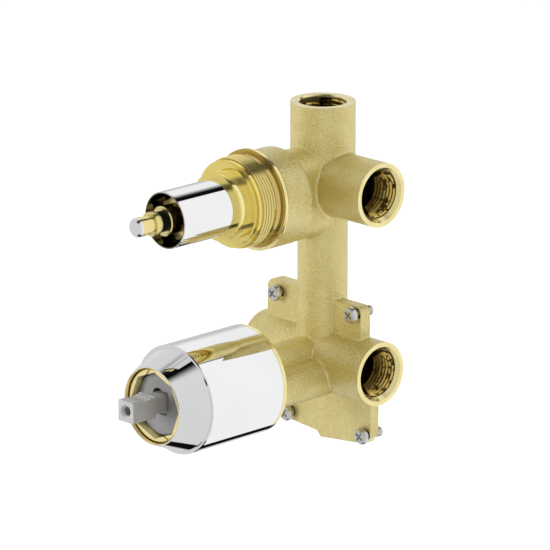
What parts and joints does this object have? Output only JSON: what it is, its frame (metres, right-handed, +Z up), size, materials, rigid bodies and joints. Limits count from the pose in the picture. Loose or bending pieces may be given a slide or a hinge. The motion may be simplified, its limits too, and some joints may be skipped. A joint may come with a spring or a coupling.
{
  "type": "concealed shower mixer body",
  "caption": "Cast brass in-wall shower mixer body with a lever mixing cartridge below, a diverter spindle above, threaded pipe ports and fixing lugs.",
  "frame": {"origin": "on the axis of the mixing cartridge, at the machined shoulder where the chromed mixer sleeve stands", "axes": "-Y towards the user along both spindles, +Z up towards the top outlet, +X towards the side outlet"},
  "size_m": [0.0706, 0.1293, 0.1521],
  "materials": {
    "cast_brass": "sand cast, dull and grainy, machined at the rims and threads",
    "turned_brass": "turned and bright",
    "chrome_plate": "mirror plate",
    "zinc_screw": "zinc plated",
    "steel_pin": "ground",
    "grey_plastic": "moulded, dull",
    "dull_zinc": "die cast, dull grey",
    "ceramic": "lapped white ceramic",
    "black_plastic": "moulded, satin black",
    "seal_rubber": "soft black seal rubber"
  },
  "bodies": {
    "valve": {"valve_body": "cast_brass", "fixing_screws": "zinc_screw", "mixer_sleeve": "chrome_plate", "sleeve_o_rings": "seal_rubber", "cartridge_nut": "turned_brass", "cartridge_housing": "grey_plastic", "cartridge_base": "grey_plastic", "fixed_ceramic_disc": "ceramic", "port_seals": "seal_rubber", "diverter_bonnet": "turned_brass", "diverter_sleeve": "chrome_plate", "diverter_headwork": "turned_brass", "spindle_bush": "black_plastic", "fixed_diverter_disc": "ceramic", "seat_seal": "seal_rubber"},
    "turret": {"swivel_turret": "grey_plastic", "turret_cover": "grey_plastic", "tilt_pin": "steel_pin"},
    "lever": {"lever_stem": "dull_zinc"},
    "carrier": {"disc_carrier": "grey_plastic", "moving_ceramic_disc": "ceramic"},
    "spindle": {"diverter_spindle": "turned_brass", "spindle_screw": "chrome_plate", "spindle_o_rings": "seal_rubber", "moving_diverter_disc": "ceramic"}
  },
  "joints": [
    {"name": "lever_swivel", "type": "hinge", "parent": "valve", "child": "turret", "pos_m": [0, -0.0422, 0], "axis": [0, 1, 0], "range_deg": [-50, 50]},
    {"name": "lever_tilt", "type": "hinge", "parent": "turret", "child": "lever", "pos_m": [0, -0.0422, 0], "axis": [1, 0, 0], "range_deg": [-12, 12]},
    {"name": "disc_slide", "type": "slide", "parent": "turret", "child": "carrier", "axis": [0, 0, 1], "range_m": [-0.0035, 0.0035]},
    {"name": "diverter_turn", "type": "hinge", "parent": "valve", "child": "spindle", "pos_m": [0, -0.0588, 0.0793], "axis": [0, 1, 0], "range_deg": [-45, 45]}
  ],
  "couplings": [
    {"joint": "disc_slide", "follows": "lever_tilt", "m_per_rad": 0.0166}
  ]
}
